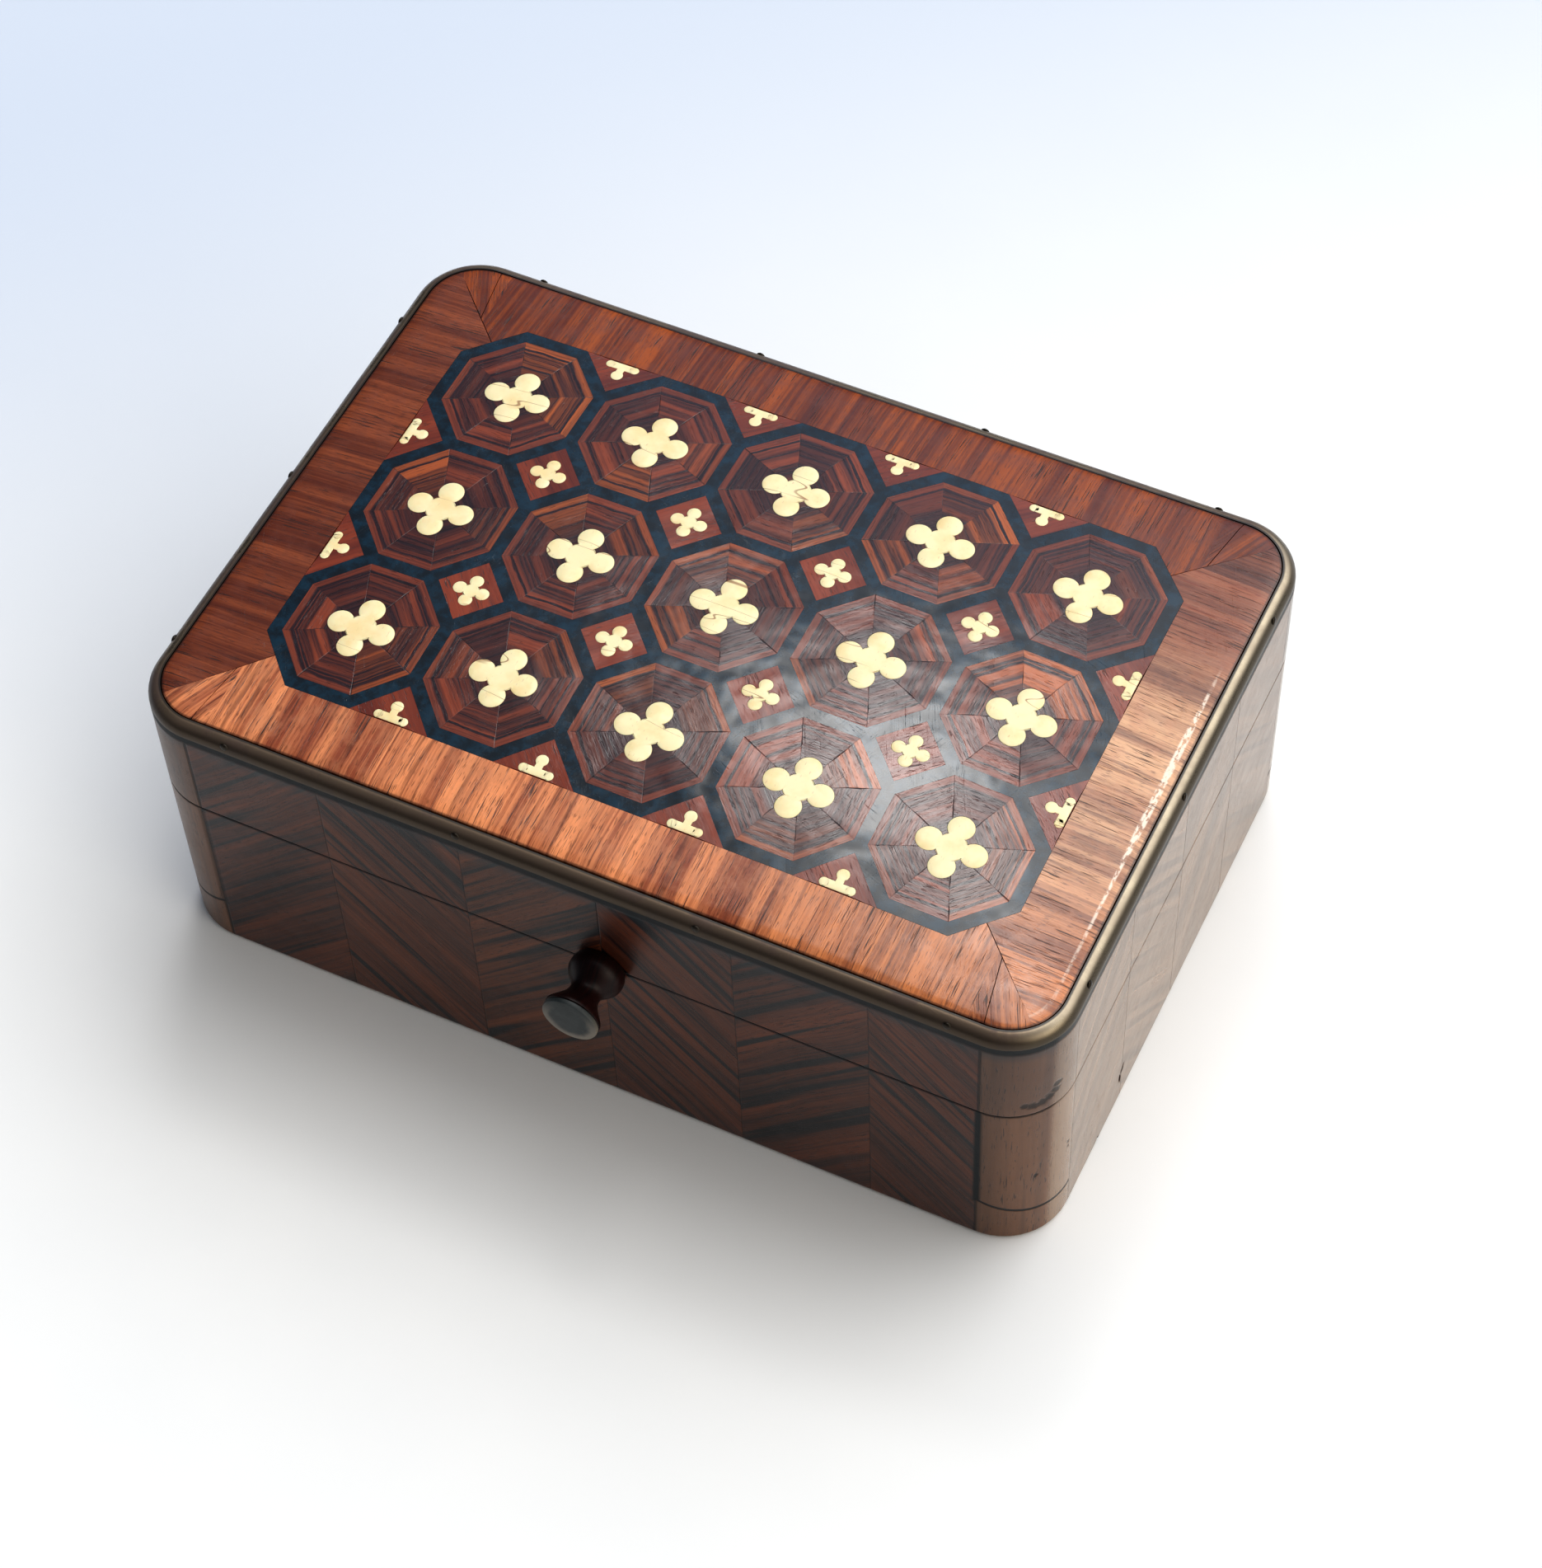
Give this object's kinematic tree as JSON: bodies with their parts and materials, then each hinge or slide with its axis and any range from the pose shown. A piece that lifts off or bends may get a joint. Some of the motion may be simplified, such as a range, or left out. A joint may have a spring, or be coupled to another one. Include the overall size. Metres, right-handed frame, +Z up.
{
  "type": "marquetry box",
  "caption": "Small wooden trinket box with a lift-off cushioned lid, brass edge, octagon marquetry with bone quatrefoils, and a turned front knob.",
  "frame": {"origin": "centre of the flat underside of the case", "axes": "+X along the long side to the right seen from the knob, +Y to the back, -Y to the front with the knob, +Z up"},
  "size_m": [0.0992, 0.0751, 0.039],
  "materials": {
    "case_wood": "dark brown herringbone side veneer, worn satin polish",
    "crossbanding": "red-brown cross-grained veneer, worn polish",
    "marquetry_wood": "nested rings of red-brown and dark purple-brown veneer, worn polish",
    "stringing": "ebony, satin polish",
    "bone": "cream bone, softly polished",
    "brass": "old brass, dull brown tarnish with rubbed highlights",
    "knob_wood": "dark turned wood, polished"
  },
  "bodies": {
    "root": {"base_box": "case_wood", "lid_box": "case_wood", "brass_bead": "brass", "ebony_stringing": "stringing", "octagon_r1_c1": "marquetry_wood", "quatrefoil_r1_c1": "bone", "octagon_r1_c2": "marquetry_wood", "quatrefoil_r1_c2": "bone", "octagon_r1_c3": "marquetry_wood", "quatrefoil_r1_c3": "bone", "octagon_r1_c4": "marquetry_wood", "quatrefoil_r1_c4": "bone", "octagon_r1_c5": "marquetry_wood", "quatrefoil_r1_c5": "bone", "octagon_r2_c1": "marquetry_wood", "quatrefoil_r2_c1": "bone", "octagon_r2_c2": "marquetry_wood", "quatrefoil_r2_c2": "bone", "octagon_r2_c3": "marquetry_wood", "quatrefoil_r2_c3": "bone", "octagon_r2_c4": "marquetry_wood", "quatrefoil_r2_c4": "bone", "octagon_r2_c5": "marquetry_wood", "quatrefoil_r2_c5": "bone", "octagon_r3_c1": "marquetry_wood", "quatrefoil_r3_c1": "bone", "octagon_r3_c2": "marquetry_wood", "quatrefoil_r3_c2": "bone", "octagon_r3_c3": "marquetry_wood", "quatrefoil_r3_c3": "bone", "octagon_r3_c4": "marquetry_wood", "quatrefoil_r3_c4": "bone", "octagon_r3_c5": "marquetry_wood", "quatrefoil_r3_c5": "bone", "square_r1_c1": "marquetry_wood", "small_cross_r1_c1": "bone", "square_r1_c2": "marquetry_wood", "small_cross_r1_c2": "bone", "square_r1_c3": "marquetry_wood", "small_cross_r1_c3": "bone", "square_r1_c4": "marquetry_wood", "small_cross_r1_c4": "bone", "square_r2_c1": "marquetry_wood", "small_cross_r2_c1": "bone", "square_r2_c2": "marquetry_wood", "small_cross_r2_c2": "bone", "square_r2_c3": "marquetry_wood", "small_cross_r2_c3": "bone", "square_r2_c4": "marquetry_wood", "small_cross_r2_c4": "bone", "border_front": "crossbanding", "border_right": "crossbanding", "border_back": "crossbanding", "border_left": "crossbanding", "knob": "knob_wood", "knob_disc": "bone"}
  },
  "joints": []
}
